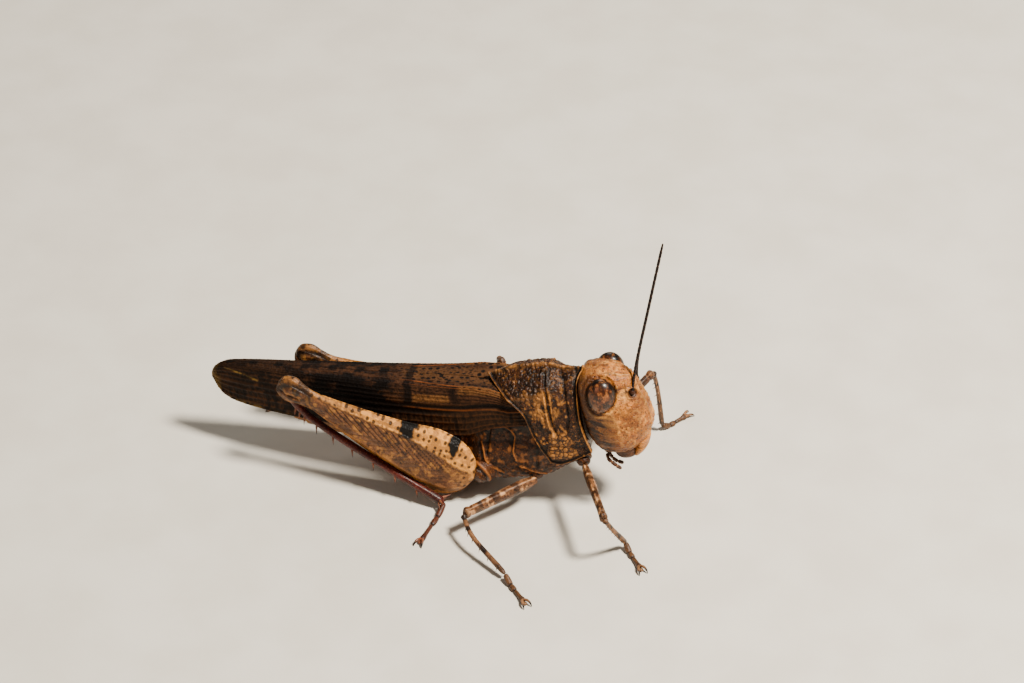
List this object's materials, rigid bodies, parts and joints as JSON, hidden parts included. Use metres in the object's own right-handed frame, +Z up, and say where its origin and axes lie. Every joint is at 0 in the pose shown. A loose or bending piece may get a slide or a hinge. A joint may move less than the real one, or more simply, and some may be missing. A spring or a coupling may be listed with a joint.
{
  "type": "grasshopper",
  "caption": "Life-size still model of a stout reddish-brown band-winged grasshopper, standing with its wings folded and antennae raised.",
  "frame": {"origin": "on the floor, under the middle of the whole outline", "axes": "+X towards the head, +Y towards the animal's left side, +Z up"},
  "size_m": [0.0488, 0.035, 0.0305],
  "materials": {
    "face": "satin tan cuticle with fine dark specks",
    "mouthparts": "satin brown cuticle",
    "eye": "glossy brown compound eye with darker mottling",
    "antenna": "satin blackish brown",
    "shield": "rough dark brown cuticle with tan marks",
    "forewing": "leathery brown wing with raised veins and dark blotches",
    "hindwing": "thin pleated membrane, smoky brown",
    "body": "satin brown cuticle",
    "leg": "satin brown cuticle mottled with dark rings",
    "hind_femur": "satin tan with a ribbed grey-brown face and dark bands",
    "hind_tibia": "satin dark red"
  },
  "bodies": {
    "root": {"head": "face", "labrum": "face", "mandibles": "mouthparts", "palps_right": "mouthparts", "palps_left": "mouthparts", "eye_right": "eye", "eye_left": "eye", "antenna_right": "antenna", "antenna_left": "antenna", "pronotum": "shield", "tegmen_right": "forewing", "tegmen_left": "forewing", "hindwing_right": "hindwing", "hindwing_left": "hindwing", "thorax": "body", "abdomen": "body", "ovipositor": "body", "coxa_fore_right": "body", "coxa_fore_left": "body", "coxa_mid_right": "body", "coxa_mid_left": "body", "coxa_hind_right": "body", "coxa_hind_left": "body", "femur_fore_right": "leg", "femur_fore_left": "leg", "femur_mid_right": "leg", "femur_mid_left": "leg", "tibia_fore_right": "leg", "tibia_fore_left": "leg", "tibia_mid_right": "leg", "tibia_mid_left": "leg", "tarsus_fore_right": "leg", "tarsus_fore_left": "leg", "tarsus_mid_right": "leg", "tarsus_mid_left": "leg", "femur_hind_right": "hind_femur", "femur_hind_left": "hind_femur", "tibia_hind_right": "hind_tibia", "tibia_hind_left": "hind_tibia", "tarsus_hind_right": "hind_tibia", "tarsus_hind_left": "hind_tibia"}
  },
  "joints": []
}
